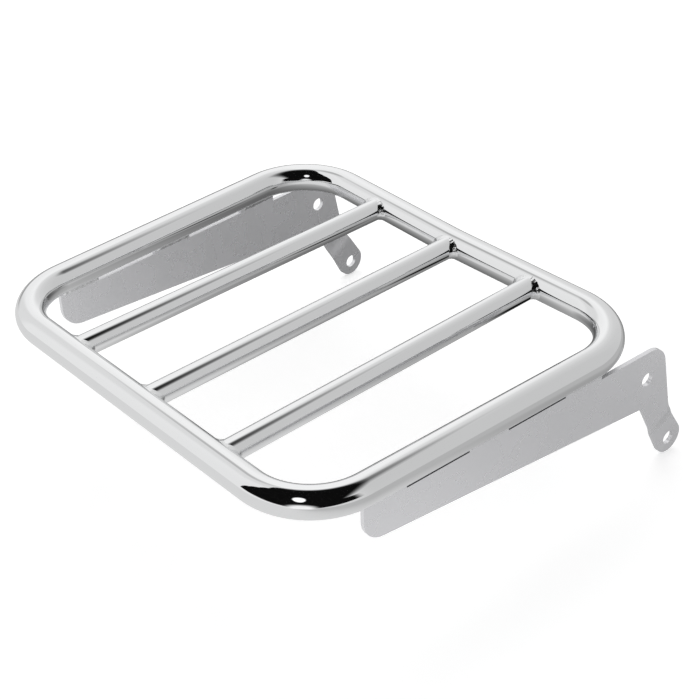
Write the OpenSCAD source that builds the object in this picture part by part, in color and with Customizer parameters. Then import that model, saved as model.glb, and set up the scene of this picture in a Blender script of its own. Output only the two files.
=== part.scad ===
// Welded luggage rack for the tail of a motorcycle: one bent tube loop, three bars
// coped into it, and two side plates stitch-welded under the side rails.
// X runs to the rider's right, Y forward and Z up. The plates bolt on at the front.

/* [Loop] */
// Outside diameter of the loop tube
loop_tube_d = 20; // [18:0.5:24]
// Wall of the loop tube
loop_wall = 2; // [1:0.25:3]
// Width of the loop at the front corners, between tube centre lines
front_width = 323; // [290:1:360]
// Width of the loop at the rear corners, between tube centre lines
rear_width = 301; // [270:1:330]
// Length of the loop, between the centre lines of its front and rear rails
loop_length = 273; // [255:1:300]
// Centre-line radius of the four corner bends
corner_bend_r = 46; // [36:1:60]
// How far the middle of the front rail is set back towards the rear
front_setback = 4; // [1:0.5:8]
// Centre-line radius of the slight bend in the middle of the front rail
setback_bend_r = 200; // [100:10:300]
// Diameter of the drain hole under the rear rail
drain_hole_d = 4; // [2:0.5:6]

/* [Bars] */
// Outside diameter of the three bars
bar_d = 15; // [12:0.5:16]
// Wall of the bars
bar_wall = 1.5; // [1:0.25:2]
// Distance from one bar's centre line to the next
bar_spacing = 74; // [60:1:85]
// How far the fillet welds reach along the bars, at the bars' sides
bar_weld_leg = 3.75; // [2.5:0.25:5]
// Slope of those welds' upper and lower faces, in degrees
bar_weld_slope = 14; // [8:1:18]

/* [Side plates] */
// Thickness of the plates
plate_thickness = 3; // [2:0.25:5]
// Distance from the rear rail's centre line to the plates' rear ends
plate_start = 41.5; // [36:0.5:50]
// Depth of the plates below the loop's centre plane, at their rear ends
plate_rear_depth = 38.5; // [32:0.5:45]
// Fall of the plates' lower edge towards the front, in degrees
lower_edge_fall = 5.2; // [2:0.1:8]
// Radius of the rear lower and the front upper corners
plate_corner_r = 16; // [8:1:20]
// Distance from the rear rail's centre line to the plates' front upper corners
plate_front = 293.5; // [288:0.5:305]
// Lean of the front edge from upright, in degrees
front_edge_lean = 12; // [6:0.5:16]

/* [Mounting holes] */
// Diameter of the mounting holes
mount_hole_d = 10; // [7:0.5:11]
// Distance from the rear rail's centre line to the upper holes
upper_hole_along = 281; // [275:0.5:284]
// Drop from the loop's centre plane to the upper holes
upper_hole_drop = 37.5; // [30:0.5:44]
// Distance from the rear rail's centre line to the ears' holes
ear_hole_along = 313; // [308:0.5:320]
// Drop from the loop's centre plane to the ears' holes
ear_hole_drop = 102; // [96:0.5:110]

/* [Ears] */
// Radius of the ears' round ends
ear_end_r = 11.5; // [9:0.5:13]
// Lean of the ears' front edge from upright, in degrees
ear_front_lean = 32.5; // [28:0.5:36]
// Lean of the ears' rear edge from upright, in degrees
ear_rear_lean = 27.5; // [22:0.5:32]
// Radius of the hollow between the front edge and the ear
ear_front_blend_r = 25; // [10:1:40]
// Radius of the inner corner between the lower edge and the ear
ear_rear_blend_r = 4; // [2:0.5:8]
// How far the ears step inwards from the plates
ear_step = 2; // [0.5:0.25:3]
// Distance from the ears' holes up to the foot of that step
ear_step_above_hole = 20; // [16:0.5:24]
// Length of the step's slope
ear_step_run = 4; // [3:0.5:6]
// Inner radius of the two bends that make the step
ear_step_bend_r = 3; // [1:0.5:5]

/* [Stitch welds] */
// Length of each land that touches the rail
land_length = 32; // [20:1:40]
// Distance from the start of one land to the next
land_pitch = 81; // [70:1:85]
// Depth of the reliefs between the lands, below the underside of the rail
relief_depth = 3.5; // [1:0.25:5]
// Distance from the rear rail's centre line to the end of the last relief
last_relief_end = 250; // [246:0.5:260]
// Leg of the stitch welds
stitch_leg = 2.5; // [1.5:0.25:3.5]
// Distance that each stitch weld stops short of its land's ends
stitch_inset = 1; // [0.5:0.25:3]

/* [Hidden] */

// How far every cut runs past what it cuts
overrun = 1;
// How far the lands reach into the rail before they are coped to it
cope_reach = 0.3;
// How much fatter the loop's bends are drawn than its straights
bend_swell = 0.05;
// How far the loop's straights are drawn into its bends
bend_lap = 0.5;
// Steps in each rounded corner of an outline
corner_steps = 12;
$fn = 48;

loop_r = loop_tube_d / 2;
bar_r = bar_d / 2;
taper = atan((front_width - rear_width) / 2 / loop_length);
land_top = cope_reach - loop_r;
relief_floor = -loop_r - relief_depth;

// The loop's corners in plan, anticlockwise from the rear left, with their bend radii
loop_corners = [
    [-rear_width / 2, 0], [rear_width / 2, 0], [front_width / 2, loop_length],
    [0, loop_length - front_setback], [-front_width / 2, loop_length]
];
loop_bends = [corner_bend_r, corner_bend_r, corner_bend_r, setback_bend_r, corner_bend_r];

// The plates' outline lies in a plane: x along the side rail, y up from its centre line
ear_hole = [ear_hole_along, -ear_hole_drop];
upper_hole = [upper_hole_along, -upper_hole_drop];
ear_mid_lean = (ear_front_lean + ear_rear_lean) / 2;
ear_axis = [sin(ear_mid_lean), -cos(ear_mid_lean)];
ear_front_normal = [cos(ear_front_lean), sin(ear_front_lean)];
ear_rear_normal = [-cos(ear_rear_lean), -sin(ear_rear_lean)];
front_edge_dir = [sin(front_edge_lean), -cos(front_edge_lean)];
lower_edge_dir = [cos(lower_edge_fall), -sin(lower_edge_fall)];
plate_front_top = [plate_front, land_top];
plate_rear_low = [plate_start, -plate_rear_depth];
land_starts = [for (i = [0:2]) plate_start + i * land_pitch];

// Place of the whole rack: its base on the ears' lowest points, centred over its outline
rack_height = ear_hole_drop + ear_end_r;
front_reach = (ear_hole_along + ear_end_r) * cos(taper) + (plate_thickness / 2 + ear_step) * sin(taper);
rack_middle = (front_reach - loop_r) / 2;

function unit(v) = v / norm(v);
function turn(a, b, c) = let (u = b - a, w = c - b) atan2(u.x * w.y - u.y * w.x, u * w);

// Where the line from p along d meets the line of points q with n * q = k
function line_cross(p, d, n, k) = p + d * (k - n * p) / (n * d);

// The corner outside a circle where its tangent lines with normals m and n meet
function tangent_corner(centre, r, m, n) = centre + r * (m + n) / (1 + m * n);

// Points of the arc that rounds the corner b between a and c
function rounded(a, b, c, r) =
    let (t = turn(a, b, c), run = r * tan(abs(t) / 2), side = sign(t), u = unit(b - a),
         centre = b - u * run + side * r * [-u.y, u.x],
         start = atan2(u.y, u.x) - side * 90)
    r == 0 ? [b] : [
        for (i = [0:corner_steps]) let (a = start + t * i / corner_steps) centre + r * [cos(a), sin(a)]
    ];

function rounded_outline(points, radii) = let (n = len(points)) [
    for (i = [0:n - 1]) each rounded(points[(i + n - 1) % n], points[i], points[(i + 1) % n], radii[i])
];

// Centre of the rail at a place along it, for the front rail a straight half to its middle
function front_rail_y(x) = loop_length - front_setback * (1 - abs(x) / (front_width / 2));

// Places the rear-rail frame in the rack's own frame
module placed() {
    translate([0, -rack_middle, rack_height]) children();
}

// A bar of radius r that follows the loop's closed path. Its bends are drawn a hair
// fatter than its straights, which run a little way into them, so that all of it joins.
module loop_path(r) {
    n = len(loop_corners);
    for (i = [0:n - 1]) {
        a = loop_corners[(i + n - 1) % n];
        b = loop_corners[i];
        c = loop_corners[(i + 1) % n];
        d = loop_corners[(i + 2) % n];
        angle = turn(a, b, c);
        trim = loop_bends[i] * tan(abs(angle) / 2);
        next_trim = loop_bends[(i + 1) % n] * tan(abs(turn(b, c, d)) / 2);
        heading = atan2(c.y - b.y, c.x - b.x);
        translate(b) rotate([0, 0, heading]) {
            translate([trim - bend_lap, 0, 0]) rotate([0, 90, 0])
                cylinder(r = r, h = norm(c - b) - trim - next_trim + 2 * bend_lap);
            translate([trim, sign(angle) * loop_bends[i], 0])
                rotate([0, 0, angle > 0 ? -90 - angle : 90])
                rotate_extrude(angle = abs(angle)) translate([loop_bends[i], 0]) circle(r = r + bend_swell);
        }
    }
}

module loop_tube() {
    color("gainsboro") placed() difference() {
        loop_path(loop_r);
        loop_path(loop_r - loop_wall);
        translate([0, 0, -loop_r - overrun]) cylinder(d = drain_hole_d, h = loop_r + overrun);
    }
}

// A bar's axis from the rear rail's centre line to the front rail's
module along_bar(x) {
    translate([x, 0, 0]) rotate([-90, 0, 0]) children();
}

module bar(x) {
    color("silver") placed() difference() {
        along_bar(x) cylinder(r = bar_r, h = front_rail_y(x));
        translate([0, -overrun, 0]) along_bar(x) cylinder(r = bar_r - bar_wall, h = loop_length + 2 * overrun);
        loop_path(loop_r);
    }
}

// Weld round the end of a bar: a fillet bounded by a ball, so that it flares on to the
// rail beside the bar, and by two sloping faces that thin it out above and below the bar
module bar_weld(x, front) {
    rail_y = front ? front_rail_y(x) : 0;
    toe = loop_r + bar_weld_leg;
    crest = (loop_r + bar_r) / 2;
    crown = crest + sqrt(loop_r * loop_r - crest * crest) * tan(bar_weld_slope);
    reach = 2 * toe;
    tip = crown - reach * tan(bar_weld_slope);
    color("lightgray") placed() difference() {
        translate([x, rail_y, 0]) mirror([0, front ? 1 : 0, 0]) intersection() {
            sphere(r = norm([bar_r, toe]));
            rotate([90, 0, 90]) linear_extrude(height = 4 * toe, center = true)
                polygon([[0, -crown], [reach, -tip], [reach, tip], [0, crown]]);
        }
        loop_path(loop_r);
        translate([0, -overrun, 0]) along_bar(x) cylinder(r = bar_r, h = loop_length + 2 * overrun);
    }
}

// The frame of a side plate: x outwards, y along the side rail, z up
module beside_rail(side) {
    mirror([side < 0 ? 1 : 0, 0, 0]) translate([rear_width / 2, 0, 0]) rotate([0, 0, -taper]) children();
}

// The plate's outline, with its lands and reliefs along the top edge
function plate_outline() =
    let (front_edge_end = line_cross(plate_front_top, front_edge_dir, ear_front_normal,
                                     ear_front_normal * ear_hole + ear_end_r),
         inner_corner = line_cross(plate_rear_low, lower_edge_dir, ear_rear_normal,
                                   ear_rear_normal * ear_hole + ear_end_r),
         tip_front = tangent_corner(ear_hole, ear_end_r, ear_front_normal, ear_axis),
         tip_rear = tangent_corner(ear_hole, ear_end_r, ear_axis, ear_rear_normal),
         relief_ends = [land_starts[1], land_starts[2], last_relief_end],
         top = [for (i = [0:2]) let (land_end = land_starts[i] + land_length) each [
             [land_starts[i], land_top], [land_end, land_top],
             [land_end, relief_floor], [relief_ends[i], relief_floor]
         ]],
         points = concat(
             [for (p = top) p],
             [[last_relief_end, land_top], plate_front_top, front_edge_end, tip_front, tip_rear,
              inner_corner, plate_rear_low]),
         radii = concat(
             [for (p = top) 0],
             [0, plate_corner_r, ear_front_blend_r, ear_end_r, ear_end_r, ear_rear_blend_r, plate_corner_r]))
    rounded_outline(points, radii);

// Section of the sheet along the ear: x is distance past the hole, y is inwards
function sheet_section() =
    let (half = plate_thickness / 2,
         foot = -ear_step_above_hole,
         head = foot - ear_step_run,
         slope = atan(ear_step / ear_step_run),
         shift = plate_thickness * tan(slope / 2),
         far = plate_front + ear_hole_along,
         outer_r = ear_step_bend_r + plate_thickness)
    rounded_outline(
        [[-far, -half], [head, -half], [foot, ear_step - half], [far, ear_step - half],
         [far, ear_step + half], [foot - shift, ear_step + half], [head - shift, half], [-far, half]],
        [0, outer_r, ear_step_bend_r, 0, 0, outer_r, ear_step_bend_r, 0]);

module side_plate(side) {
    reach = plate_thickness + ear_step + overrun;
    breadth = plate_front + ear_hole_along;
    color("darkgray") placed() difference() {
        beside_rail(side) difference() {
            intersection() {
                rotate([90, 0, 90]) linear_extrude(height = 2 * reach, center = true) polygon(plate_outline());
                translate([0, ear_hole.x, ear_hole.y]) rotate([-90 + ear_mid_lean, 0, 0])
                    rotate([0, 0, 90]) linear_extrude(height = breadth, center = true)
                    polygon(sheet_section());
            }
            for (hole = [upper_hole, ear_hole])
                translate([-reach, hole.x, hole.y]) rotate([0, 90, 0])
                    cylinder(d = mount_hole_d, h = 2 * reach);
        }
        loop_path(loop_r);
    }
}

// Bead in the corner between a plate's face and the rail, along one land
module stitch(side, land, outer) {
    face = outer ? plate_thickness / 2 : -plate_thickness / 2;
    start = land_starts[land] + stitch_inset + stitch_leg;
    length = land_length - 2 * stitch_inset - 2 * stitch_leg;
    root = -sqrt(loop_r * loop_r - face * face);
    block = land_length + 2 * stitch_leg;
    color("lightgray") placed() difference() {
        beside_rail(side) difference() {
            translate([face, start, root]) {
                rotate([-90, 0, 0]) cylinder(r = stitch_leg, h = length);
                sphere(r = stitch_leg);
                translate([0, length, 0]) sphere(r = stitch_leg);
            }
            translate([outer ? face - block : face, start - block / 2, root - block / 2])
                cube([block, 2 * block, block]);
        }
        loop_path(loop_r);
    }
}

loop_tube();
bar(-bar_spacing);  // bar_left
bar(0);  // bar_centre
bar(bar_spacing);  // bar_right
side_plate(-1);  // side_plate_left
side_plate(1);  // side_plate_right
bar_weld(-bar_spacing, false);  // bar_weld_left_rear
bar_weld(-bar_spacing, true);  // bar_weld_left_front
bar_weld(0, false);  // bar_weld_centre_rear
bar_weld(0, true);  // bar_weld_centre_front
bar_weld(bar_spacing, false);  // bar_weld_right_rear
bar_weld(bar_spacing, true);  // bar_weld_right_front
stitch(-1, 0, false);  // stitch_left_rear_inner
stitch(-1, 1, false);  // stitch_left_middle_inner
stitch(-1, 2, false);  // stitch_left_front_inner
stitch(-1, 0, true);  // stitch_left_rear_outer
stitch(-1, 1, true);  // stitch_left_middle_outer
stitch(-1, 2, true);  // stitch_left_front_outer
stitch(1, 0, false);  // stitch_right_rear_inner
stitch(1, 1, false);  // stitch_right_middle_inner
stitch(1, 2, false);  // stitch_right_front_inner
stitch(1, 0, true);  // stitch_right_rear_outer
stitch(1, 1, true);  // stitch_right_middle_outer
stitch(1, 2, true);  // stitch_right_front_outer
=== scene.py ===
# %% [markdown]
# # Motorcycle luggage rack: dressing the welded frame
# The rack is one bent tube, three bars, two cut plates and their weld beads, all
# plated with chrome. Chrome has almost no colour of its own: what it shows is the
# room round it. So this lesson builds the room as carefully as the metal.

# %% Load the frame
import math

import bmesh
import bpy
from mathutils import Matrix, Vector, noise


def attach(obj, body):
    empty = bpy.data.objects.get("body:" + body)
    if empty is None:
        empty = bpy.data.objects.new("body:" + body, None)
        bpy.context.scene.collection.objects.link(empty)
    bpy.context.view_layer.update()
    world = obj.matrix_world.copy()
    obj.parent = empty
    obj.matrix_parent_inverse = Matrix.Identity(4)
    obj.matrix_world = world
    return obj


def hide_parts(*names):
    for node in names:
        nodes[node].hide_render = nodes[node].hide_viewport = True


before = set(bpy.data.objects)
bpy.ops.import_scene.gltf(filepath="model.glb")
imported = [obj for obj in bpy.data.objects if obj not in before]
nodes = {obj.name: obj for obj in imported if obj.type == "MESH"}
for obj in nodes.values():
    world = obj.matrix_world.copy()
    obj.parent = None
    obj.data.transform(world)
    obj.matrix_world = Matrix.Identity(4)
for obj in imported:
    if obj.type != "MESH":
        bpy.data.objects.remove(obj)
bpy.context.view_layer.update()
print("nodes:", len(nodes))

# %% [markdown]
# ## The camera
# The photograph was taken from behind and to the right of the rack, from above, with a
# long lens. The camera looks at one point on the rack; its place is that point plus
# a distance along the line of sight, shifted sideways and up to frame the rack as
# the photograph does.

# %% Camera
CAMERA_AZIMUTH = math.radians(48.72)
CAMERA_ELEVATION = math.radians(34.51)
CAMERA_ROLL = math.radians(-1.456)
CAMERA_DISTANCE = 0.9869
CAMERA_RIGHT = 0.02513
CAMERA_UP = -0.02186
CAMERA_TARGET = Vector((0.0, -0.020689, 0.1135))
FOCAL_PIXELS = 1525.41
IMAGE_PIXELS = 700
SENSOR_MM = 36.0


def make_camera():
    back = Vector((
        math.sin(CAMERA_AZIMUTH) * math.cos(CAMERA_ELEVATION),
        -math.cos(CAMERA_AZIMUTH) * math.cos(CAMERA_ELEVATION),
        math.sin(CAMERA_ELEVATION),
    ))
    level = Vector((math.cos(CAMERA_AZIMUTH), math.sin(CAMERA_AZIMUTH), 0.0))
    above = back.cross(level)
    right = level * math.cos(CAMERA_ROLL) + above * math.sin(CAMERA_ROLL)
    up = above * math.cos(CAMERA_ROLL) - level * math.sin(CAMERA_ROLL)
    place = CAMERA_TARGET + back * CAMERA_DISTANCE + right * CAMERA_RIGHT + up * CAMERA_UP
    data = bpy.data.cameras.new("camera")
    data.sensor_width = SENSOR_MM
    data.lens = FOCAL_PIXELS / IMAGE_PIXELS * SENSOR_MM
    data.clip_start = 0.01
    camera = bpy.data.objects.new("camera", data)
    bpy.context.scene.collection.objects.link(camera)
    turn = Matrix((right, up, back)).transposed().to_4x4()
    camera.matrix_world = Matrix.Translation(place) @ turn
    bpy.context.scene.camera = camera
    return camera


camera = make_camera()
print("camera at", [round(v, 3) for v in camera.matrix_world.translation])

# %% [markdown]
# ## Three finishes of chrome
# The whole rack is plated after welding, so every surface is the same metal, but what
# lies under the plating differs: polished tube, sheet that was only cut and bent, and
# weld beads left as they cooled. Chrome could be one mirror for all. Here each finish has
# its own roughness, varied by a fine noise that reads Object coordinates, so that the
# grain stays on the metal when the camera or the rack moves.

# %% Material helpers


def new_material(name):
    material = bpy.data.materials.new(name)
    material.use_nodes = True
    material.node_tree.nodes.clear()
    return material, material.node_tree.nodes, material.node_tree.links


def add(tree, kind, **values):
    node = tree.new(kind)
    for key, value in values.items():
        setattr(node, key, value)
    return node


def combine(tree, links, operation, first, second):
    node = add(tree, "ShaderNodeMath", operation=operation)
    for socket, value in zip(node.inputs, (first, second)):
        if isinstance(value, (int, float)):
            socket.default_value = value
        else:
            links.new(value, socket)
    return node.outputs[0]


def ramp(tree, links, value, start, end, low, high):
    node = add(tree, "ShaderNodeMapRange", interpolation_type="SMOOTHSTEP")
    node.inputs["From Min"].default_value = start
    node.inputs["From Max"].default_value = end
    node.inputs["To Min"].default_value = low
    node.inputs["To Max"].default_value = high
    links.new(value, node.inputs["Value"])
    return node.outputs["Result"]


# %% Chrome
HAZE_DETAIL = 3.0
HAZE_LOW, HAZE_HIGH = 0.3, 0.7


def chrome(name, base, roughness, bump_scale, bump_height, metallic=1.0):
    material, tree, links = new_material(name)
    output = add(tree, "ShaderNodeOutputMaterial")
    metal = add(tree, "ShaderNodeBsdfPrincipled")
    metal.inputs["Metallic"].default_value = metallic
    metal.inputs["Base Color"].default_value = (*base, 1.0)
    links.new(metal.outputs["BSDF"], output.inputs["Surface"])
    place = add(tree, "ShaderNodeTexCoord")
    haze = add(tree, "ShaderNodeTexNoise")
    haze.inputs["Scale"].default_value = bump_scale
    haze.inputs["Detail"].default_value = HAZE_DETAIL
    links.new(place.outputs["Object"], haze.inputs["Vector"])
    spread = add(tree, "ShaderNodeMapRange")
    spread.inputs["From Min"].default_value = HAZE_LOW
    spread.inputs["From Max"].default_value = HAZE_HIGH
    spread.inputs["To Min"].default_value = roughness[0]
    spread.inputs["To Max"].default_value = roughness[1]
    links.new(haze.outputs["Fac"], spread.inputs["Value"])
    links.new(spread.outputs["Result"], metal.inputs["Roughness"])
    if bump_height:
        bump = add(tree, "ShaderNodeBump")
        bump.inputs["Distance"].default_value = bump_height
        links.new(haze.outputs["Fac"], bump.inputs["Height"])
        links.new(bump.outputs["Normal"], metal.inputs["Normal"])
    return material


# %% [markdown]
# ## Painted shade in the reliefs
# The right plate's relief floors sit in the rail's shade and mirror its dark underside, and
# that is painted into their colour. It shows as fine dark lines under the rail. The pattern
# picks the upward faces at the height of the reliefs' floors, on the right side only.

# %% Painted shade on the relief floors
# colour of the painted shade under the rail
PAINTED_SHADE_GREY = (0.05, 0.05, 0.055, 1.0)
RELIEF_LEVEL = (0.0979, 0.0986)
RIGHT_SIDE = (0.0, 0.01)
FACING_UP = (0.3, 0.6)
MIX_SHARE, MIX_PLAIN, MIX_SHADE, MIX_RESULT = 0, 6, 7, 2


def paint_relief_shade(material):
    tree, links = material.node_tree.nodes, material.node_tree.links
    metal = next(node for node in tree if node.type == "BSDF_PRINCIPLED")
    place = add(tree, "ShaderNodeTexCoord")
    where = add(tree, "ShaderNodeSeparateXYZ")
    links.new(place.outputs["Object"], where.inputs["Vector"])
    surface = add(tree, "ShaderNodeNewGeometry")
    facing = add(tree, "ShaderNodeSeparateXYZ")
    links.new(surface.outputs["Normal"], facing.inputs["Vector"])
    level = ramp(tree, links, where.outputs["Z"], *RELIEF_LEVEL, 0.0, 1.0)
    right = ramp(tree, links, where.outputs["X"], *RIGHT_SIDE, 0.0, 1.0)
    upward = ramp(tree, links, facing.outputs["Z"], *FACING_UP, 0.0, 1.0)
    share = combine(tree, links, "MULTIPLY", level, right)
    share = combine(tree, links, "MULTIPLY", share, upward)
    # painted shade: the share darkens the chrome's base colour on the right plate's relief floors
    mix = add(tree, "ShaderNodeMix", data_type="RGBA")
    links.new(share, mix.inputs[MIX_SHARE])
    mix.inputs[MIX_PLAIN].default_value = metal.inputs["Base Color"].default_value
    mix.inputs[MIX_SHADE].default_value = PAINTED_SHADE_GREY
    links.new(mix.outputs[MIX_RESULT], metal.inputs["Base Color"])


# %% Finishes
tube_chrome = chrome("tube_chrome", (0.88, 0.885, 0.89), (0.025, 0.05), 40.0, 0.0)
plate_chrome = chrome("plate_chrome", (0.87, 0.87, 0.89), (0.22, 0.32), 60.0, 0.0, 0.72)
weld_chrome = chrome("weld_chrome", (0.86, 0.865, 0.87), (0.03, 0.08), 420.0, 0.0004)

# painted shade under the rail on the right plate's relief floors
paint_relief_shade(plate_chrome)
print("finishes:", tube_chrome.name, plate_chrome.name, weld_chrome.name)

# %% [markdown]
# ## The drawing's sizes
# The rack's drawing puts its zero in the middle of the rear rail, on the tube's centre
# line, with y towards the rider and z up. The same sizes are named here, and each piece
# is shaped in that frame and then moved by DRAWING to where the rack stands. Measuring
# the CAD meshes instead would also work, but named sizes say what each number is.

# %% Named sizes, in metres
LOOP_R = 0.010
LOOP_WALL = 0.002
FRONT_HALF = 0.1615
REAR_HALF = 0.1505
LOOP_LENGTH = 0.273
CORNER_BEND_R = 0.046
FRONT_SETBACK = 0.004
SETBACK_BEND_R = 0.200
DRAIN_HOLE_R = 0.002
BAR_R = 0.0075
BAR_WALL = 0.0015
BAR_PLACES = {"left": -0.074, "centre": 0.0, "right": 0.074}
RAIL_MIDDLE = -0.157189
RAIL_HEIGHT = 0.1135
TAPER = math.atan((FRONT_HALF - REAR_HALF) / LOOP_LENGTH)
PLATE_HALF = 0.0015
DRAWING = Matrix.Translation((0.0, RAIL_MIDDLE, RAIL_HEIGHT))


def front_rail_y(x):
    return LOOP_LENGTH - FRONT_SETBACK * (1.0 - abs(x) / FRONT_HALF)


print("taper of the side rails:", round(math.degrees(TAPER), 3), "degrees")

# %% [markdown]
# ## Finishing a piece
# Every piece ends in the same way: its faces are turned outwards, its points are moved
# to where the rack stands, its faces are shaded smooth apart from true edges, it is
# hung on the root body, and the frame's node that it stands for is hidden.


def finish_piece(name, work, material, stands_for, sharp=35.0):
    bmesh.ops.recalc_face_normals(work, faces=work.faces)
    if work.calc_volume(signed=True) < 0:
        bmesh.ops.reverse_faces(work, faces=work.faces)
    open_edges = sum(1 for edge in work.edges if not edge.is_contiguous)
    cubic_mm = round(work.calc_volume() * 1e9)
    print(name, cubic_mm, "mm3,", open_edges, "open edges,", len(work.faces), "faces")
    mesh = bpy.data.meshes.new(name)
    work.to_mesh(mesh)
    work.free()
    mesh.transform(DRAWING)
    for face in mesh.polygons:
        face.use_smooth = True
    mesh.set_sharp_from_angle(angle=math.radians(sharp))
    mesh.materials.append(material)
    piece = bpy.data.objects.new(name, mesh)
    bpy.context.scene.collection.objects.link(piece)
    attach(piece, "root")
    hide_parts(stands_for)
    return piece


def only(geometry, kind):
    return [part for part in geometry if isinstance(part, kind)]


def ring_edges(verts):
    inside = set(verts)
    return list({
        edge for vert in verts for edge in vert.link_edges if edge.other_vert(vert) in inside
    })


# %% [markdown]
# ## The loop tube
# The platform's edge is one tube of 20 mm, bent round four corners and set back a little
# in the middle of its front rail. A curve with a round bevel would draw it at once, but
# has no wall and no drain hole. So one ring of points is pushed along each straight and
# spun round each bend, as a tube bender does, once for the outer skin and once for the
# inner one, and a boolean drills the drain hole through both.

# %% Loop tube: its corners
RING_STEPS = 72
BEND_STEPS = 56
FEWEST_BEND_STEPS = 4
SEAM_REACH = 3 * DRAIN_HOLE_R
MERGE = 1e-5
LOOP_CORNERS = [
    ((REAR_HALF, 0.0), CORNER_BEND_R),
    ((FRONT_HALF, LOOP_LENGTH), CORNER_BEND_R),
    ((0.0, LOOP_LENGTH - FRONT_SETBACK), SETBACK_BEND_R),
    ((-FRONT_HALF, LOOP_LENGTH), CORNER_BEND_R),
    ((-REAR_HALF, 0.0), CORNER_BEND_R),
]


# %% Loop tube: pushing and bending a ring


def push_ring(work, verts, vector):
    """Extrude a ring of verts along vector and give back the new ring"""
    grown = bmesh.ops.extrude_edge_only(work, edges=ring_edges(verts))
    moved = only(grown["geom"], bmesh.types.BMVert)
    bmesh.ops.translate(work, vec=vector, verts=moved)
    return moved


def bend_ring(work, verts, centre, angle, steps):
    """Spin a ring of verts about an upright axis and give back the last ring"""
    turned = bmesh.ops.spin(
        work, geom=verts + ring_edges(verts), cent=centre, axis=(0, 0, 1), angle=angle, steps=steps
    )
    return only(turned["geom_last"], bmesh.types.BMVert)


# %% Loop tube: one skin


def loop_skin(work, radius):
    along = Matrix.Rotation(math.radians(90), 4, "Y")
    made = bmesh.ops.create_circle(work, segments=RING_STEPS, radius=radius, matrix=along)
    ring = made["verts"]
    here = Vector((0.0, 0.0, 0.0))
    ring = push_ring(work, ring, Vector((SEAM_REACH, 0.0, 0.0)))
    here.x += SEAM_REACH
    for index, (corner, bend_r) in enumerate(LOOP_CORNERS):
        before = Vector((*LOOP_CORNERS[index - 1][0], 0.0))
        after = Vector((*LOOP_CORNERS[(index + 1) % len(LOOP_CORNERS)][0], 0.0))
        corner = Vector((*corner, 0.0))
        into = (corner - before).normalized()
        out = (after - corner).normalized()
        angle = math.atan2(into.cross(out).z, into.dot(out))
        trim = bend_r * math.tan(abs(angle) / 2)
        ring = push_ring(work, ring, corner - into * trim - here)
        side = Vector((-into.y, into.x, 0.0)) * math.copysign(1.0, angle)
        centre = corner - into * trim + side * bend_r
        steps = max(FEWEST_BEND_STEPS, round(BEND_STEPS * abs(angle) / math.radians(90)))
        ring = bend_ring(work, ring, centre, angle, steps)
        here = corner + out * trim
    ring = push_ring(work, ring, Vector((-SEAM_REACH, 0.0, 0.0)) - here)
    push_ring(work, ring, Vector((SEAM_REACH, 0.0, 0.0)))
    bmesh.ops.remove_doubles(work, verts=work.verts, dist=MERGE)


# %% Loop tube: both skins
work = bmesh.new()
loop_skin(work, LOOP_R)
outer = len(work.verts)
inner_work = bmesh.new()
loop_skin(inner_work, LOOP_R - LOOP_WALL)
bmesh.ops.recalc_face_normals(inner_work, faces=inner_work.faces)
bmesh.ops.reverse_faces(inner_work, faces=inner_work.faces)
inner_mesh = bpy.data.meshes.new("loop_inside")
inner_work.to_mesh(inner_mesh)
inner_work.free()
bmesh.ops.recalc_face_normals(work, faces=work.faces)
work.from_mesh(inner_mesh)
bpy.data.meshes.remove(inner_mesh)
print("points of the outer skin:", outer, "and of both skins:", len(work.verts))


# %% Loop tube: the drain hole


def bored(work, cutter_work):
    """The mesh of work with the mesh of cutter_work taken out"""
    whole = bpy.data.meshes.new("whole")
    work.to_mesh(whole)
    work.free()
    tool = bpy.data.meshes.new("tool")
    cutter_work.to_mesh(tool)
    cutter_work.free()
    body = bpy.data.objects.new("whole", whole)
    cutter = bpy.data.objects.new("tool", tool)
    for piece in (body, cutter):
        bpy.context.scene.collection.objects.link(piece)
    cut = body.modifiers.new("cut", "BOOLEAN")
    cut.operation = "DIFFERENCE"
    cut.solver = "EXACT"
    cut.object = cutter
    bpy.context.view_layer.update()
    shown = body.evaluated_get(bpy.context.evaluated_depsgraph_get())
    result = bmesh.new()
    result.from_mesh(shown.data)
    for piece in (body, cutter):
        bpy.data.objects.remove(piece)
    bpy.data.meshes.remove(whole)
    bpy.data.meshes.remove(tool)
    return result


# %% Loop tube: drilled and finished
DRILL_STEPS = 32
drill = bmesh.new()
bmesh.ops.create_cone(
    drill, cap_ends=True, segments=DRILL_STEPS, radius1=DRAIN_HOLE_R, radius2=DRAIN_HOLE_R,
    depth=LOOP_R, matrix=Matrix.Translation((0.0, 0.0, -LOOP_R)),
)
work = bored(work, drill)
finish_piece("visual_loop_tube", work, tube_chrome, "loop_tube")

# %% [markdown]
# ## The bars
# Three tubes of 15 mm run from the rear rail to the front rail. Their ends are cut to
# the rails' round, which a fitter calls coping or fish-mouthing. A boolean could cut that,
# but here the bar is a ring of metal extruded once, and each end point is simply moved
# along the bar to where it meets the rail. LAP lets the ends go a hair under the rail's
# skin, so that no slit of light shows.

# %% Bars
BAR_STEPS = 64
LAP = 0.0004


def bar_ends(x, height):
    """Where the bar at x meets the rear rail and the front rail at this height"""
    rear = math.sqrt((LOOP_R - LAP) ** 2 - height**2)
    lean = math.atan(FRONT_SETBACK / FRONT_HALF)
    front = front_rail_y(x) - math.sqrt((LOOP_R - LAP) ** 2 - height**2) / math.cos(lean)
    return rear, front


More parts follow.
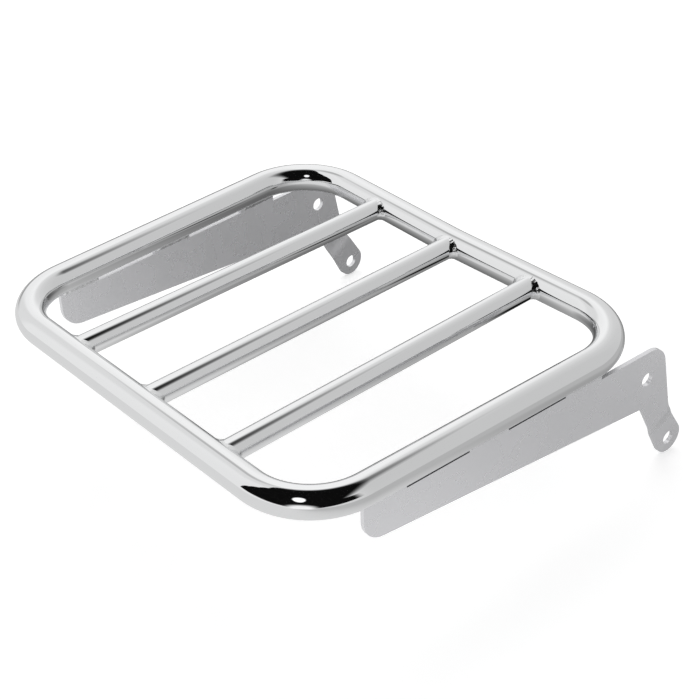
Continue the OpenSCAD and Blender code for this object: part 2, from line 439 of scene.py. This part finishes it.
def bar(place, x):
    work = bmesh.new()
    along = Matrix.Translation((x, 0.0, 0.0)) @ Matrix.Rotation(math.radians(-90), 4, "X")
    rings = []
    for radius in (BAR_R, BAR_R - BAR_WALL):
        made = bmesh.ops.create_circle(work, segments=BAR_STEPS, radius=radius, matrix=along)
        rings += ring_edges(made["verts"])
    end = bmesh.ops.bridge_loops(work, edges=rings)["faces"]
    grown = bmesh.ops.extrude_face_region(work, geom=end)
    far_end = only(grown["geom"], bmesh.types.BMVert)
    bmesh.ops.translate(work, vec=(0.0, LOOP_LENGTH, 0.0), verts=far_end)
    for vert in work.verts:
        rear, front = bar_ends(vert.co.x, vert.co.z)
        vert.co.y = rear if vert.co.y < LOOP_LENGTH / 2 else front
    return finish_piece(f"visual_bar_{place}", work, tube_chrome, f"bar_{place}")


for place, x in BAR_PLACES.items():
    bar(place, x)

# %% [markdown]
# ## The bar welds
# A fillet of weld fills the corner between each bar end and its rail: widest at the bar's
# flanks, thinner above and below, a little hollow, and plated so brightly that it shows
# the dark of the room. A torus has the right number of turns for it: its section is laid
# between a toe on the bar and a toe on the rail, and noise makes the toes wander and the
# surface swell as a hand-made bead does.

# %% Bar welds: the fillet's section
WELD_BAR_LEG = (0.0050, 0.0034)
WELD_RAIL_LEG = (0.0058, 0.0019)
WELD_SECTION = 24
WELD_STEPS = 160
WELD_SINK = 0.00025
RAIL_EDGE = 1e-4
WELD_ROOT = 0.0010
WELD_HOLLOW = 0.50
BAR_TOE_WANDER = 0.10
RAIL_TOE_WANDER = 0.08
WELD_RIPPLE = 0.00002
RIPPLE_TURNS = 22
WELD_LUMP = 0.00016
TORUS_R = 0.010
TORUS_SECTION_R = 0.002


def rail_skin(x, height, front):
    """y of the rail's surface where it faces the bars"""
    rear, ahead = bar_ends(x, min(height, LOOP_R - LAP - RAIL_EDGE))
    return ahead if front else rear


def weld_point(round_angle, along, outside, x, front, seed):
    """A point of a weld: round_angle about the bar, along the section from its bar toe"""
    flank = math.cos(round_angle) ** 2
    wander = noise.noise(Vector((3 * math.cos(round_angle), 3 * math.sin(round_angle), seed)))
    bar_leg = WELD_BAR_LEG[0] * flank + WELD_BAR_LEG[1] * (1 - flank)
    bar_leg *= 1 + BAR_TOE_WANDER * wander
    rail_leg = WELD_RAIL_LEG[0] * flank + WELD_RAIL_LEG[1] * (1 - flank)
    rail_leg *= 1 - RAIL_TOE_WANDER * wander
    sense = -1.0 if front else 1.0

    def skin(radius):
        across = radius * math.cos(round_angle)
        up = radius * math.sin(round_angle)
        return rail_skin(x + across, abs(up), front)

    corner = Vector((BAR_R, skin(BAR_R)))
    bar_toe = Vector((BAR_R - WELD_SINK, corner.y + sense * bar_leg))
    rail_toe_r = BAR_R + rail_leg
    rail_toe = Vector((rail_toe_r, skin(rail_toe_r) - sense * WELD_SINK))
    if outside:
        middle = (bar_toe + rail_toe) / 2
        control = middle.lerp(corner, WELD_HOLLOW)
    else:
        control = corner + Vector((-WELD_ROOT, -sense * WELD_ROOT))
    point = bar_toe * (1 - along) ** 2 + control * 2 * along * (1 - along) + rail_toe * along**2
    if outside:
        normal = Vector((-(rail_toe - bar_toe).y, (rail_toe - bar_toe).x)) * -sense
        normal = normal.normalized() * (1 if normal.x > 0 else -1)
        bow = math.sin(math.pi * along)
        travel = RIPPLE_TURNS * round_angle + 2.2 * bow + 2.5 * wander
        spot = Vector((5 * math.cos(round_angle), 5 * math.sin(round_angle), 3 * along + seed))
        point += normal * bow * (WELD_RIPPLE * math.sin(travel) + WELD_LUMP * noise.noise(spot))
    return Vector((
        x + point.x * math.cos(round_angle), point.y, point.x * math.sin(round_angle)
    ))


# %% Bar welds: one bead


def bar_weld(place, x, front, seed):
    work = bmesh.new()
    centre = Vector((x, 0.0, 0.0))
    at = Matrix.Translation(centre + Vector((TORUS_R, 0.0, 0.0)))
    made = bmesh.ops.create_circle(work, segments=WELD_SECTION, radius=TORUS_SECTION_R, matrix=at)
    start = made["verts"]
    bmesh.ops.spin(
        work, geom=start + ring_edges(start), cent=centre, axis=(0, 1, 0),
        angle=math.radians(360), steps=WELD_STEPS, use_merge=True,
    )
    for vert in work.verts:
        offset = vert.co - centre
        round_angle = math.atan2(offset.z, offset.x)
        radial = math.hypot(offset.x, offset.z) - TORUS_R
        section_angle = math.atan2(offset.y, radial)
        outside = section_angle >= 0
        along = abs(section_angle) / math.pi
        vert.co = weld_point(round_angle, 1 - along, outside, x, front, seed)
    end = "front" if front else "rear"
    node = f"bar_weld_{place}_{end}"
    return finish_piece(f"visual_{node}", work, weld_chrome, node, sharp=80)


REAR_SEED, FRONT_SEED, SEED_STEP = 10.0, 40.0, 7
for index, (place, x) in enumerate(BAR_PLACES.items()):
    bar_weld(place, x, False, REAR_SEED + SEED_STEP * index)
    bar_weld(place, x, True, FRONT_SEED + SEED_STEP * index)

# %% [markdown]
# ## The stitch welds
# Each side plate touches the rail on three lands, and a short bead runs along each land
# on both faces of the sheet. A capsule would do from far off. This bead is a round bar
# drawn out in sixty small steps, so that its ends can be rounded off and its skin can
# carry the low ripples that a welder leaves with each dip of the rod.

# %% Stitch welds: sizes
LAND_STARTS = (0.0415, 0.1225, 0.2035)
LAND_NAMES = ("rear", "middle", "front")
LAND_LENGTH = 0.032
STITCH_INSET = 0.001
STITCH_R = 0.0025
STITCH_STEPS = 60
STITCH_SECTION = 32
STITCH_RIPPLE = 0.00009
STITCH_RIPPLE_PITCH = 0.0011
STITCH_LUMP = 0.00016
STITCH_SWELL = 0.06
STITCH_BEHIND = 0.35


# %% Beside a side rail


def beside_rail(side):
    """The frame of a side plate: x outwards, y along the side rail, z up"""
    flip = Matrix.Scale(side, 4, Vector((1, 0, 0)))
    return flip @ Matrix.Translation((REAR_HALF, 0.0, 0.0)) @ Matrix.Rotation(-TAPER, 4, "Z")


# %% Stitch welds: one bead


def stitch(side_name, side, land, outer, seed):
    work = bmesh.new()
    length = LAND_LENGTH - 2 * STITCH_INSET
    along = Matrix.Rotation(math.radians(-90), 4, "X")
    made = bmesh.ops.create_circle(work, segments=STITCH_SECTION, radius=STITCH_R, matrix=along)
    ring = made["verts"]
    bmesh.ops.contextual_create(work, geom=ring_edges(ring))
    for _ in range(STITCH_STEPS):
        ring = push_ring(work, ring, Vector((0.0, length / STITCH_STEPS, 0.0)))
    bmesh.ops.contextual_create(work, geom=ring_edges(ring))
    face = PLATE_HALF if outer else -PLATE_HALF
    root = -math.sqrt(LOOP_R**2 - face**2)
    out = 1.0 if outer else -1.0
    for vert in work.verts:
        along_land = vert.co.y
        from_end = min(along_land, length - along_land)
        taper = math.sqrt(max(0.0, 1 - (1 - min(1.0, from_end / STITCH_R)) ** 2))
        angle = math.atan2(vert.co.z, vert.co.x)
        travel = along_land / STITCH_RIPPLE_PITCH + 1.2 * math.cos(2 * angle) + seed
        lump = STITCH_LUMP * noise.noise(Vector((along_land * 420, seed, 1.3 * math.cos(angle))))
        swell = 1 + STITCH_SWELL * noise.noise(Vector((along_land * 160, seed, 4.0)))
        radius = (STITCH_R * swell + STITCH_RIPPLE * math.sin(travel) + lump) * taper
        vert.co.x = face + radius * math.cos(angle)
        vert.co.z = root + radius * math.sin(angle)
        vert.co.y = LAND_STARTS[land] + STITCH_INSET + along_land
    # what would stand out of the plate's other face stays inside the sheet
    for vert in work.verts:
        inward = (vert.co.x - face) * out
        if inward < 0:
            vert.co.x = face + out * inward * STITCH_BEHIND
    bmesh.ops.transform(work, matrix=beside_rail(side), verts=work.verts)
    name = f"stitch_{side_name}_{LAND_NAMES[land]}_{'outer' if outer else 'inner'}"
    return finish_piece(f"visual_{name}", work, weld_chrome, name, sharp=60)


SIDES = (("left", -1.0), ("right", 1.0))
for side_name, side in SIDES:
    for land in range(len(LAND_STARTS)):
        for outer in (False, True):
            stitch(side_name, side, land, outer, 3.0 * land + 11.0 * outer + 29.0 * (side > 0))

# %% [markdown]
# ## The side plates
# Each plate is cut from 3 mm sheet: three lands under the rail with reliefs between them,
# a swept lower edge, an upper hole, and an ear that steps inwards to a second hole. The
# frame's own plate has that outline, so its copy is merged, laid back into the flat sheet
# and bent again along a softer double bend, as a press leaves it. Its edges get the small
# round that chrome needs to catch a line of light.

# %% Side plates: sizes
EDGE_ROUND = 0.00035
LAND_TOP = -0.0097
RELIEF_FLOOR = -0.0135
RIGHT_RELIEF_FLOOR = -0.0144
FRONT_TOP = -0.0158
THIRD_LAND_END = LAND_STARTS[2] + LAND_LENGTH
LAST_RELIEF_END = 0.250
CORNER_FOOT = -0.0226
FRONT_LEAN = math.radians(12)
EAR_HOLE = Vector((0.0, 0.313, -0.102))
EAR_LEAN = math.radians(30)
EAR_AXIS = Vector((0.0, math.sin(EAR_LEAN), -math.cos(EAR_LEAN)))
EAR_START = -0.040
EAR_STEP = 0.002
STEP_HEAD = -0.024
STEP_FOOT = -0.020
SOFT_HEAD = -0.029
SOFT_FOOT = -0.016
SOFT_CUTS = 16
NEAR = 1e-4
SHARP_EDGE = math.radians(35)


# %% Side plates: the flat sheet


def past_ear_hole(vert):
    return (vert.co - EAR_HOLE).dot(EAR_AXIS)


def flatten_ear(work):
    """Put the points of the ear back on the flat sheet's outer or inner skin"""
    for vert in work.verts:
        along = past_ear_hole(vert)
        if along > EAR_START:
            share = min(1.0, max(0.0, (along - STEP_HEAD) / (STEP_FOOT - STEP_HEAD)))
            vert.co.x = math.copysign(PLATE_HALF, vert.co.x + EAR_STEP * share)


def lower_front_top(work):
    """Lower the top edge in front of the third land, as the photograph shows it"""
    drop = FRONT_TOP - LAND_TOP
    for vert in work.verts:
        if vert.co.y < THIRD_LAND_END - NEAR or vert.co.z < CORNER_FOOT:
            continue
        if vert.co.y < THIRD_LAND_END + NEAR:
            if vert.co.z < RELIEF_FLOOR + NEAR:
                vert.co.z = FRONT_TOP
        elif vert.co.y < LAST_RELIEF_END + NEAR:
            vert.co.z = FRONT_TOP
        else:
            vert.co.y -= drop * math.tan(FRONT_LEAN)
            vert.co.z += drop


# %% Side plates: the bend of the ear


def deepen_reliefs(work):
    """Lower the floors of the first two reliefs a little, as the right plate shows them"""
    for vert in work.verts:
        if vert.co.y < LAND_STARTS[2] + NEAR and abs(vert.co.z - RELIEF_FLOOR) < NEAR:
            vert.co.z = RIGHT_RELIEF_FLOOR


def bend_ear(work):
    """Step the ear inwards along a soft double bend"""
    for cut in range(SOFT_CUTS + 1):
        along = SOFT_HEAD + (SOFT_FOOT - SOFT_HEAD) * cut / SOFT_CUTS
        bmesh.ops.bisect_plane(
            work, geom=work.verts[:] + work.edges[:] + work.faces[:], dist=1e-6,
            plane_co=EAR_HOLE + EAR_AXIS * along, plane_no=EAR_AXIS,
        )
    for vert in work.verts:
        share = min(1.0, max(0.0, (past_ear_hole(vert) - SOFT_HEAD) / (SOFT_FOOT - SOFT_HEAD)))
        vert.co.x -= EAR_STEP * share * share * (3 - 2 * share)


# %% Side plates: one plate


def side_plate(side_name, side):
    node = f"side_plate_{side_name}"
    work = bmesh.new()
    work.from_mesh(nodes[node].data)
    plate_frame = DRAWING @ beside_rail(side)
    bmesh.ops.transform(work, matrix=plate_frame.inverted(), verts=work.verts)
    bmesh.ops.remove_doubles(work, verts=work.verts, dist=2e-6)
    flatten_ear(work)
    lower_front_top(work)
    if side > 0:
        deepen_reliefs(work)
    bmesh.ops.remove_doubles(work, verts=work.verts, dist=MERGE)
    bmesh.ops.dissolve_degenerate(work, edges=work.edges, dist=1e-6)
    bmesh.ops.dissolve_limit(
        work, angle_limit=math.radians(1), verts=work.verts, edges=work.edges
    )
    bend_ear(work)
    bmesh.ops.recalc_face_normals(work, faces=work.faces)
    sharp = [
        edge for edge in work.edges if edge.is_manifold and edge.calc_face_angle() > SHARP_EDGE
    ]
    bmesh.ops.bevel(
        work, geom=sharp, offset=EDGE_ROUND, offset_type="OFFSET", affect="EDGES", segments=2,
        profile=0.5, material=-1, clamp_overlap=True,
    )
    print(node, "edges rounded:", len(sharp))
    bmesh.ops.transform(work, matrix=beside_rail(side), verts=work.verts)
    piece = finish_piece(f"visual_{node}", work, plate_chrome, node, sharp=50)
    flat = piece.modifiers.new("flat_faces", "WEIGHTED_NORMAL")
    flat.keep_sharp = True
    flat.weight = 100
    return piece


for side_name, side in SIDES:
    side_plate(side_name, side)

# %% [markdown]
# ## The studio
# Polished chrome is a map of its room. Each card here was placed by asking which way a
# point of the tube looks once the line of sight has bounced off it. The cards are seen
# only in reflections; the camera itself sees a white backdrop and a white floor.

# %% Stage helpers: cards that can fade


def mixed(tree, links, density, seen):
    """A card that glows with strength seen where density is 1, and is clear where it is 0"""
    output = add(tree, "ShaderNodeOutputMaterial")
    emission = add(tree, "ShaderNodeEmission")
    clear = add(tree, "ShaderNodeBsdfTransparent")
    mix = add(tree, "ShaderNodeMixShader")
    for value, socket in ((seen, emission.inputs["Strength"]), (density, mix.inputs["Fac"])):
        if isinstance(value, float):
            socket.default_value = value
        else:
            links.new(value, socket)
    links.new(clear.outputs[0], mix.inputs[1])
    links.new(emission.outputs[0], mix.inputs[2])
    links.new(mix.outputs[0], output.inputs["Surface"])


# %% Stage helpers: shades that follow a place or a direction


def fade(tree, links, direction, start, end, low=0.0, high=1.0):
    """Smoothly from low at start to high at end, measured along a direction"""
    place = add(tree, "ShaderNodeTexCoord")
    along = add(tree, "ShaderNodeVectorMath", operation="DOT_PRODUCT")
    along.inputs[1].default_value = direction
    links.new(place.outputs["Object"], along.inputs[0])
    return ramp(tree, links, along.outputs["Value"], start, end, low, high)


def pool(tree, links, centre, inner, outer, low, high, stretch=(1.0, 1.0, 1.0)):
    """Smoothly from low within inner of a point to high beyond outer"""
    place = add(tree, "ShaderNodeTexCoord")
    apart = add(tree, "ShaderNodeVectorMath", operation="SUBTRACT")
    apart.inputs[1].default_value = centre
    scaled = add(tree, "ShaderNodeVectorMath", operation="MULTIPLY")
    scaled.inputs[1].default_value = stretch
    length = add(tree, "ShaderNodeVectorMath", operation="LENGTH")
    links.new(place.outputs["Object"], apart.inputs[0])
    links.new(apart.outputs["Vector"], scaled.inputs[0])
    links.new(scaled.outputs["Vector"], length.inputs[0])
    return ramp(tree, links, length.outputs["Value"], inner, outer, low, high)


def azimuth(tree, links):
    """Compass direction seen from the rack: 0 and 1 at -Y, 0.25 at -X, 0.5 at +Y, 0.75 at +X"""
    place = add(tree, "ShaderNodeTexCoord")
    parts = add(tree, "ShaderNodeSeparateXYZ")
    links.new(place.outputs["Object"], parts.inputs["Vector"])
    angle = combine(tree, links, "ARCTAN2", parts.outputs["X"], parts.outputs["Y"])
    turns = combine(tree, links, "MULTIPLY", angle, 1 / math.tau)
    return combine(tree, links, "ADD", turns, 0.5)


def around(tree, links, stops):
    """A strength that changes round the room, from pairs of degrees and strength"""
    colours = add(tree, "ShaderNodeValToRGB")
    colours.color_ramp.interpolation = "EASE"
    points = colours.color_ramp.elements
    while len(points) < len(stops):
        points.new(0.5)
    for point, (degrees, strength) in zip(points, stops):
        point.position = degrees / 360 + 0.5
        point.color = (strength, strength, strength, 1.0)
    links.new(azimuth(tree, links), colours.inputs["Fac"])
    return colours.outputs["Color"]


# %% Stage helpers: making a card
TO_FRONT = (0.0, 1.0, 0.0)
TO_LEFT = (-1.0, 0.0, 0.0)
UPWARDS = (0.0, 0.0, 1.0)
WALL_STEPS = 60


def stage_piece(name, work, material, reflected_only=True):
    mesh = bpy.data.meshes.new(name)
    work.to_mesh(mesh)
    work.free()
    piece = bpy.data.objects.new(name, mesh)
    bpy.context.scene.collection.objects.link(piece)
    piece.data.materials.append(material)
    if reflected_only:
        piece.visible_camera = False
        piece.visible_diffuse = False
        piece.visible_shadow = False
        piece.visible_transmission = False
    print("stage:", name, len(mesh.polygons), "faces")
    return piece


def flat_card(name, corners, height, material):
    work = bmesh.new()
    bmesh.ops.create_circle(work, cap_ends=True, segments=len(corners), radius=1.0)
    for vert, (x, y) in zip(work.verts, corners):
        vert.co = (x, y, height)
    return stage_piece(name, work, material)


def curved_card(name, start, end, radius, low, high, material):
    """A wall round the rack from one compass direction to another; low gives its lower edge"""
    work = bmesh.new()
    bottom = work.verts.new((math.sin(start) * radius, math.cos(start) * radius, 0.0))
    top = work.verts.new((bottom.co.x, bottom.co.y, high))
    edge = work.edges.new((bottom, top))
    bmesh.ops.spin(
        work, geom=[bottom, top, edge], axis=(0, 0, -1), angle=end - start, steps=WALL_STEPS
    )
    for vert in work.verts:
        if vert.co.z < high / 2:
            vert.co.z = low(math.degrees(math.atan2(vert.co.x, vert.co.y) % math.tau))
    return stage_piece(name, work, material)


# %% [markdown]
# ## The floor
# The camera sees a white floor with the rack's soft shadow on it. The chrome sees another
# floor: shades of grey painted by place for the studio table, and a painted shadow under
# the rack that gives the bars their lower lines. Light Path's Is Glossy Ray chooses between
# the two.

# %% Floor
FLOOR_Z = -0.001
FLOOR_HALF = 4.0
FLOOR_LIFT = 0.40
FLOOR_COLOUR = (0.9, 0.9, 0.9, 1.0)

floor_white, tree, links = new_material("floor_white")
output = add(tree, "ShaderNodeOutputMaterial")
matt = add(tree, "ShaderNodeBsdfDiffuse")
matt.inputs["Color"].default_value = FLOOR_COLOUR
lift = add(tree, "ShaderNodeEmission")
lift.inputs["Strength"].default_value = FLOOR_LIFT
both = add(tree, "ShaderNodeAddShader")
links.new(matt.outputs[0], both.inputs[0])
links.new(lift.outputs[0], both.inputs[1])

# %% The floor that the chrome sees
camera_side = fade(tree, links, TO_FRONT, -0.25, 0.05, 0.86, 0.82)
far_left = pool(tree, links, (-0.45, 0.38, 0.0), 0.24, 0.52, 0.14, 1.0, (0.7, 1.0, 1.0))
far_right = fade(tree, links, (0.90, 0.44, 0.0), 0.02, 0.34, 0.86, 0.60)
# painted shadow of the rack on the floor, darker under it, seen only in reflections
painted_shadow_under = pool(tree, links, (0.08, 0.15, 0.0), 0.08, 0.26, 0.70, 1.0, (0.8, 1.2, 1.0))
painted_shadow_left = pool(tree, links, (-0.09, 0.05, 0.0), 0.07, 0.17, 0.62, 1.0, (1.0, 0.9, 1.0))
# painted shade: a dark band just in front of the rack, seen only in reflections
painted_shade_front = pool(tree, links, (0.10, 0.185, 0.0), 0.02, 0.07, 0.0, 1.0, (0.8, 1.4, 1.0))
reflected = camera_side
shades = (far_left, far_right, painted_shadow_under, painted_shadow_left, painted_shade_front)
for part in shades:
    reflected = combine(tree, links, "MULTIPLY", reflected, part)
print("shades laid over the reflected floor:", len(shades))

# %% The floor's two faces
seen = add(tree, "ShaderNodeEmission")
links.new(reflected, seen.inputs["Strength"])
path = add(tree, "ShaderNodeLightPath")
mix = add(tree, "ShaderNodeMixShader")
links.new(path.outputs["Is Glossy Ray"], mix.inputs["Fac"])
links.new(both.outputs[0], mix.inputs[1])
links.new(seen.outputs[0], mix.inputs[2])
links.new(mix.outputs[0], output.inputs["Surface"])
work = bmesh.new()
level = Matrix.Translation((0, 0, FLOOR_Z))
bmesh.ops.create_grid(work, x_segments=1, y_segments=1, size=FLOOR_HALF, matrix=level)
stage_piece("floor", work, floor_white, reflected_only=False)

# %% [markdown]
# ## The tent
# A cloth tent stands round the table. It is white behind the camera and greyer ahead of
# it, and a ColorRamp by compass direction says how grey. A world texture could do that
# too, but a tent at a true distance gives reflections that move as real ones do.

# %% Tent
TENT_RADIUS = 3.0
TENT_STOPS = [
    (-180, 0.84), (-145, 0.86), (-125, 0.88), (-110, 0.79), (-90, 0.78), (-75, 0.93), (-50, 0.98),
    (-30, 0.76), (-15, 0.70), (0, 0.66), (30, 0.62), (60, 0.62), (90, 0.70), (180, 0.84),
]
tent_cloth, tree, links = new_material("tent_cloth")
mixed(tree, links, 1.0, around(tree, links, TENT_STOPS))
work = bmesh.new()
bmesh.ops.create_uvsphere(work, u_segments=48, v_segments=24, radius=TENT_RADIUS)
stage_piece("tent", work, tent_cloth)

# %% [markdown]
# ## Flags, veil and strip light
# Black flags overhead and behind the camera draw the dark lines along the tubes, and a
# strip light between them draws the bright patch on the near corner. Their edges fade,
# because a hard edge would read as a hard line on every tube.

# %% Overhead flag
CEILING = 0.95
FLAG_GLOW = 0.004
FLAG_CORNERS = [
    (-0.36, 0.20), (-0.22, -0.30), (-0.28, -0.60), (-0.59, -1.16), (-0.59, -1.6),
    (1.6, -1.6), (1.6, 1.0), (-0.36, 1.0),
]
flag_black, tree, links = new_material("flag_black")
top = fade(tree, links, TO_FRONT, 0.22, 0.62, 1.0, 0.0)
right = fade(tree, links, (0.45, 0.89, 0.0), 0.30, 0.60, 1.0, 0.0)
left = fade(tree, links, (-0.8, 0.6, 0.0), 0.18, 0.45, 1.0, 0.0)
density = combine(tree, links, "MULTIPLY", combine(tree, links, "MINIMUM", top, right), left)
mixed(tree, links, density, FLAG_GLOW)
flat_card("overhead_flag", FLAG_CORNERS, CEILING, flag_black)

# %% Soft greys overhead
VEIL_CORNERS = [(-1.3, -0.4), (-0.2, -0.4), (-0.2, 0.5), (-1.3, 0.5)]
VEIL_HEIGHT = CEILING + 0.02
VEIL_GLOW = 0.20
veil_grey, tree, links = new_material("veil_grey")
beside = pool(tree, links, (-0.60, 0.03, 0.0), 0.05, 0.30, 0.55, 0.0, (0.7, 1.6, 0.0))
mixed(tree, links, beside, VEIL_GLOW)
flat_card("soft_veil", VEIL_CORNERS, VEIL_HEIGHT, veil_grey)

# %% Camera-side flag
WALL_RADIUS = 1.3
WALL_FROM, WALL_TO = math.radians(82), math.radians(208)
WALL_TOP = CEILING + 0.01
NOTCH_AZIMUTH = 138


def wall_low(degrees):
    """The wall's lower edge, which dips in the notch's direction"""
    away = abs(degrees - NOTCH_AZIMUTH) / 45
    return 0.02 + (0.30 if degrees < NOTCH_AZIMUTH else 0.25) * min(1.1, away) ** 0.8


wall_black, tree, links = new_material("wall_black")
front_edge = fade(tree, links, TO_FRONT, -0.05, 0.2, 1.0, 0.0)
mixed(tree, links, front_edge, FLAG_GLOW)
curved_card(
    "camera_side_flag", WALL_FROM, WALL_TO, WALL_RADIUS, wall_low, WALL_TOP, wall_black
)

# %% Low dark wall
LOW_RADIUS = 1.25
LOW_TOP = 0.36
LOW_FROM, LOW_TO = math.radians(-110), math.radians(0)
LOW_GLOW = 0.06
low_grey, tree, links = new_material("low_grey")
low_rise = fade(tree, links, UPWARDS, 0.10, 0.34, 0.70, 0.0)
low_ends = combine(
    tree, links, "MULTIPLY",
    fade(tree, links, TO_LEFT, 0.75, 1.10, 0.0, 1.0),
    fade(tree, links, TO_FRONT, -0.35, 0.10, 0.0, 1.0),
)
mixed(tree, links, combine(tree, links, "MULTIPLY", low_rise, low_ends), LOW_GLOW)


def on_floor(degrees):
    return 0.0


curved_card("low_dark_wall", LOW_FROM, LOW_TO, LOW_RADIUS, on_floor, LOW_TOP, low_grey)

# %% Strip light
STRIP_CENTRE = (0.50, -0.80, CEILING - 0.01)
STRIP_HALF = (0.40, 0.125)
STRIP_GLOW = 1.15
STRIP_TURN = math.atan2(-0.81, 0.62)
strip_white, tree, links = new_material("strip_white")
ellipse = (1 / STRIP_HALF[0], 1 / STRIP_HALF[1], 0.0)
soft_edge = pool(tree, links, (0.0, 0.0, 0.0), 0.80, 1.0, 1.0, 0.0, ellipse)
mixed(tree, links, soft_edge, STRIP_GLOW)
work = bmesh.new()
bmesh.ops.create_grid(work, x_segments=1, y_segments=1, size=STRIP_HALF[0])
strip = stage_piece("strip_light", work, strip_white)
strip.location = STRIP_CENTRE
strip.rotation_euler.z = STRIP_TURN

# %% Glow behind the camera
GLOW_AZIMUTH = math.radians(143)
GLOW_RADIUS = WALL_RADIUS - 0.02
GLOW_FROM, GLOW_TO = math.radians(112), math.radians(170)
GLOW_HEIGHT = 0.10
glow_white, tree, links = new_material("glow_white")
glow_centre = (
    math.sin(GLOW_AZIMUTH) * GLOW_RADIUS, math.cos(GLOW_AZIMUTH) * GLOW_RADIUS, GLOW_HEIGHT
)
glow = pool(tree, links, glow_centre, 0.16, 0.40, 1.0, 0.0, (1.0, 1.0, 0.75))
mixed(tree, links, glow, 1.0)
curved_card("card_light", GLOW_FROM, GLOW_TO, GLOW_RADIUS, on_floor, 0.80, glow_white)

# %% [markdown]
# ## World and lamp
# The backdrop is white where the camera or a reflection sees it, and dimmer as a light,
# so that pale metal doesn't wash out. One broad lamp, itself unseen, gives the shadow.

# %% World
WORLD_LIGHT = 0.6
world = bpy.data.worlds.new("studio")
bpy.context.scene.world = world
world.use_nodes = True
tree, links = world.node_tree.nodes, world.node_tree.links
tree.clear()
output = add(tree, "ShaderNodeOutputWorld")
shown = add(tree, "ShaderNodeBackground")
shown.inputs["Strength"].default_value = 1.0
shown.inputs["Color"].default_value = (1.0, 1.0, 1.0, 1.0)
lit = add(tree, "ShaderNodeBackground")
lit.inputs["Strength"].default_value = WORLD_LIGHT
lit.inputs["Color"].default_value = (1.0, 1.0, 1.0, 1.0)
path = add(tree, "ShaderNodeLightPath")
either = add(tree, "ShaderNodeMath", operation="MAXIMUM")
links.new(path.outputs["Is Camera Ray"], either.inputs[0])
links.new(path.outputs["Is Glossy Ray"], either.inputs[1])
mix = add(tree, "ShaderNodeMixShader")
links.new(either.outputs[0], mix.inputs["Fac"])
links.new(lit.outputs[0], mix.inputs[1])
links.new(shown.outputs[0], mix.inputs[2])
links.new(mix.outputs[0], output.inputs["Surface"])

# %% Lamp
LAMP_SIZE = 1.6
LAMP_WATTS = 8.0
LAMP_PLACE = (-0.5, 0.5, 1.6)
LAMP_AIM = Vector((0.5, -0.5, -1.5))
lamp_data = bpy.data.lights.new("soft_light", "AREA")
lamp_data.shape = "RECTANGLE"
lamp_data.size = LAMP_SIZE
lamp_data.size_y = LAMP_SIZE
lamp_data.energy = LAMP_WATTS
lamp = bpy.data.objects.new("soft_light", lamp_data)
bpy.context.scene.collection.objects.link(lamp)
lamp.location = LAMP_PLACE
lamp.rotation_euler = LAMP_AIM.to_track_quat("-Z", "Y").to_euler()
lamp.visible_glossy = False
print("lamp:", LAMP_WATTS, "W,", LAMP_SIZE, "m wide")

# %% [markdown]
# ## Last settings
# Standard view keeps colours as they are written.

# %% Colour
bpy.context.scene.view_settings.view_transform = "Standard"
